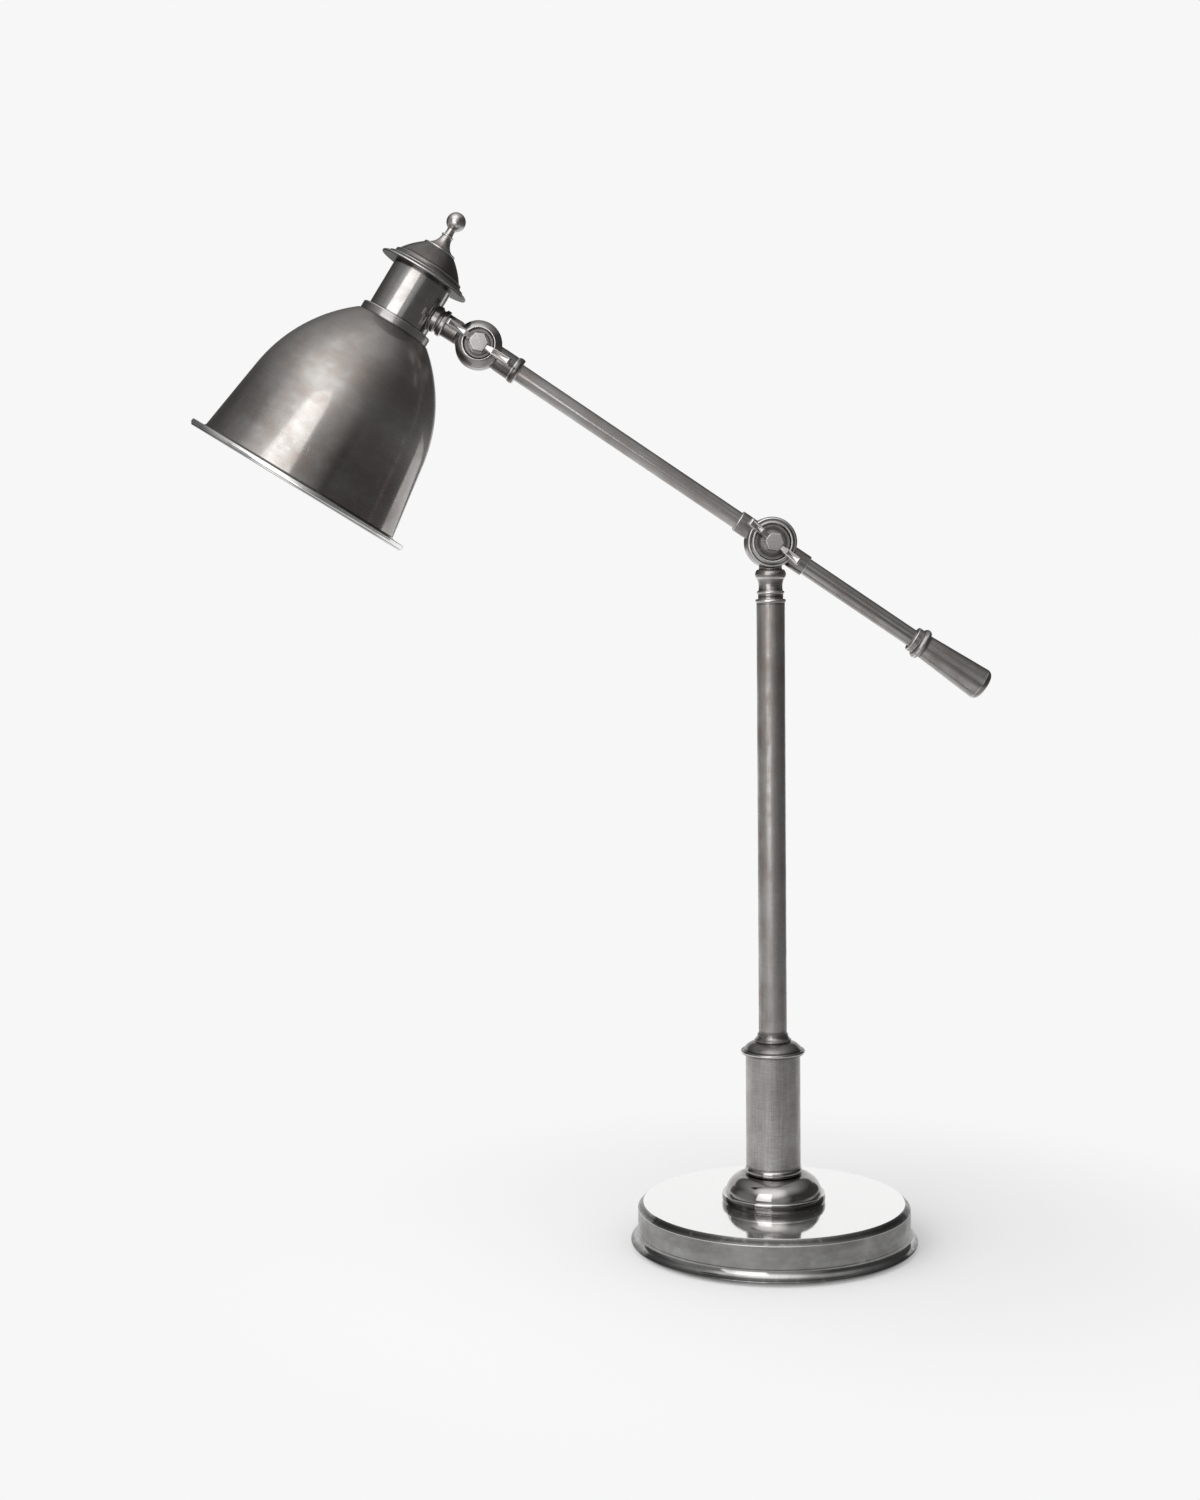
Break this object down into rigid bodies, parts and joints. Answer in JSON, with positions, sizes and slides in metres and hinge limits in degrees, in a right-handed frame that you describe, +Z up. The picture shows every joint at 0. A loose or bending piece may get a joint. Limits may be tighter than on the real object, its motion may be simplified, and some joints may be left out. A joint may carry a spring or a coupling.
{
  "type": "desk lamp",
  "caption": "Boom-arm desk lamp: round weighted base, slim post, tilting arm with a counterweight, and a tilting bell shade, locked by wing screws, in antique silver.",
  "frame": {"origin": "centre of the base underside, on the axis of the post", "axes": "+Z up along the post; the boom arm lies in the XZ plane with the shade towards -X and the counterweight towards +X; the wing screws face -Y"},
  "size_m": [0.4473, 0.165, 0.5854],
  "materials": {
    "polished_silver": "polished antique silver plate with darkened edges",
    "antique_silver": "brushed antique silver plate with soft brown-grey patina",
    "cast_iron": "rough casting",
    "felt": "dark felt",
    "rubber": "matte rubber",
    "plain_steel": "zinc plated",
    "fibre": "vulcanised fibre",
    "holder_black": "moulded phenolic",
    "holder_white": "moulded insulator",
    "brass": "bright stamped brass"
  },
  "bodies": {
    "stand": {"base_shell": "polished_silver", "base_weight": "cast_iron", "base_felt": "felt", "cord_grommet": "rubber", "tie_rod": "plain_steel", "base_washer": "plain_steel", "base_nut": "plain_steel", "column_foot": "polished_silver", "column_sleeve": "antique_silver", "column_cap": "antique_silver", "post_tube": "antique_silver", "post_plug": "plain_steel", "post_ferrule": "antique_silver", "post_friction_washer": "fibre", "post_knuckle_nut": "antique_silver"},
    "arm": {"arm_knuckle": "antique_silver", "arm_knuckle_cup": "antique_silver", "arm_tube_front": "antique_silver", "arm_tube_rear": "antique_silver", "counterweight_collar": "antique_silver", "counterweight": "antique_silver", "arm_end_knuckle": "antique_silver", "head_knuckle_cup": "antique_silver"},
    "head": {"head_friction_washer": "fibre", "head_knuckle_nut": "antique_silver", "head_stem": "antique_silver", "stem_flange": "polished_silver", "stem_saddle_washer": "plain_steel", "stem_lock_nut": "plain_steel", "neck_sleeve": "polished_silver", "shade_collar": "polished_silver", "shade": "antique_silver", "vent_cap": "polished_silver", "finial": "polished_silver", "holder_nipple": "plain_steel", "lamp_holder": "holder_black", "holder_insulator": "holder_white", "holder_shell": "brass", "centre_contact": "brass"},
    "post_wing_screw": {"post_wing_screw": "antique_silver"},
    "head_wing_screw": {"head_wing_screw": "antique_silver"}
  },
  "joints": [
    {"name": "arm_tilt", "type": "hinge", "parent": "stand", "child": "arm", "pos_m": [0, 0, 0.402], "axis": [0, 1, 0], "range_deg": [-70, 6]},
    {"name": "head_tilt", "type": "hinge", "parent": "arm", "child": "head", "pos_m": [-0.16252, 0, 0.51245], "axis": [0, 1, 0], "range_deg": [-45, 90]},
    {"name": "post_wing_turn", "type": "hinge", "parent": "stand", "child": "post_wing_screw", "pos_m": [0, 0, 0.402], "axis": [0, -1, 0], "range_deg": [0, 180]},
    {"name": "head_wing_turn", "type": "hinge", "parent": "head", "child": "head_wing_screw", "pos_m": [-0.16252, 0, 0.51245], "axis": [0, -1, 0], "range_deg": [0, 180]}
  ]
}
